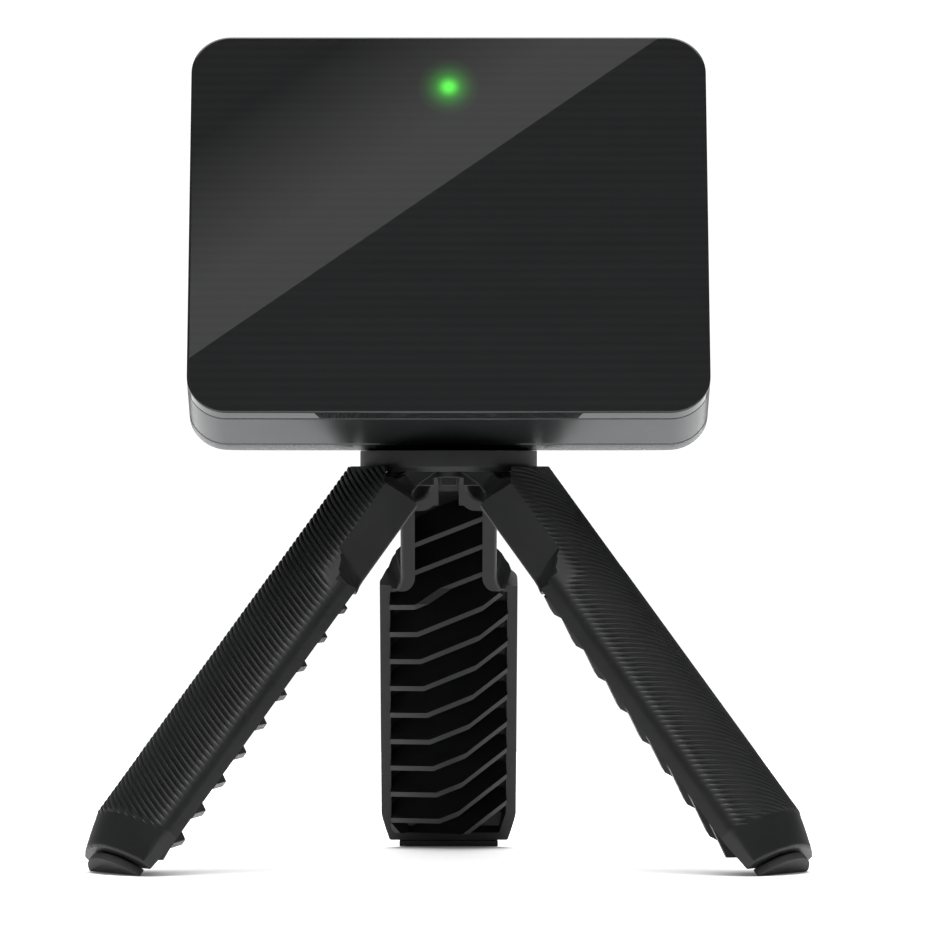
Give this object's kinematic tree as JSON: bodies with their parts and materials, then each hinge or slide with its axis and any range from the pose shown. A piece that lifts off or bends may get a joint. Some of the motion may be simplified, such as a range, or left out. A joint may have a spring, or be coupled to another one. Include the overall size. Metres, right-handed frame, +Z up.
{
  "type": "launch monitor",
  "caption": "Pocket golf launch monitor: a slim glossy radar unit leaning back on a folding mini tripod with splayed, ribbed channel legs.",
  "frame": {"origin": "on the ground, under the middle of the object's box", "axes": "+X to the right of someone facing the glossy face, +Y away from them through the unit, +Z up"},
  "size_m": [0.1228, 0.1094, 0.1427],
  "materials": {
    "gloss_black": "gloss black window with a very fine pinstripe under the surface",
    "housing_grey": "satin dark grey metallic paint",
    "cover_black": "fine-textured matte black",
    "tripod_black": "satin moulded black nylon",
    "rubber": "matte black rubber",
    "steel": "turned steel",
    "brass": "turned brass",
    "circuit_board": "green solder mask",
    "shield_metal": "tin-plated shield can",
    "battery_pouch": "matte aluminium laminate pouch",
    "clear_green": "clear light guide lit green"
  },
  "bodies": {
    "hub": {"hub_body": "tripod_black", "platform_pad": "rubber", "mount_stud": "steel", "pivot_spider": "tripod_black", "hinge_pin_left": "steel", "hinge_pin_right": "steel", "hinge_pin_rear": "steel"},
    "unit": {"front_lens": "gloss_black", "front_seal": "rubber", "mid_housing": "housing_grey", "rear_seal": "rubber", "rear_cover": "cover_black", "thread_insert": "brass", "radar_board": "circuit_board", "radar_shield": "shield_metal", "main_board": "circuit_board", "processor_shield": "shield_metal", "battery_cell": "battery_pouch", "light_pipe": "clear_green", "status_led": "clear_green", "usb_socket": "steel", "power_switch": "steel", "case_screw_1": "steel", "case_screw_2": "steel", "case_screw_3": "steel", "case_screw_4": "steel"},
    "power_button": {"power_button": "cover_black"},
    "usb_cover": {"usb_cover": "rubber"},
    "leg_left": {"leg_left": "tripod_black", "foot_pad_left": "rubber"},
    "leg_right": {"leg_right": "tripod_black", "foot_pad_right": "rubber"},
    "leg_rear": {"leg_rear": "tripod_black", "foot_pad_rear": "rubber"}
  },
  "joints": [
    {"name": "fold_left", "type": "hinge", "parent": "hub", "child": "leg_left", "pos_m": [-0.00476, -0.01585, 0.06835], "axis": [0.5, -0.866, 0], "range_deg": [0, 39.7]},
    {"name": "fold_right", "type": "hinge", "parent": "hub", "child": "leg_right", "pos_m": [0.00476, -0.01585, 0.06835], "axis": [0.5, 0.866, 0], "range_deg": [0, 39.7]},
    {"name": "fold_rear", "type": "hinge", "parent": "hub", "child": "leg_rear", "pos_m": [0, -0.0076, 0.06835], "axis": [-1, 0, 0], "range_deg": [0, 39.7]},
    {"name": "unit_swivel", "type": "hinge", "parent": "hub", "child": "unit", "pos_m": [0, -0.0131, 0.0712], "axis": [0, 0, 1], "range_deg": [0, 90]},
    {"name": "power_press", "type": "slide", "parent": "unit", "child": "power_button", "axis": [-1, 0, 0], "range_m": [0, 0.0004], "stiffness_N_per_m": 2500},
    {"name": "usb_cover_hinge", "type": "hinge", "parent": "unit", "child": "usb_cover", "pos_m": [-0.04385, -0.0163, 0.09489], "axis": [0, -0.9191, 0.3939], "range_deg": [0, 95]}
  ]
}
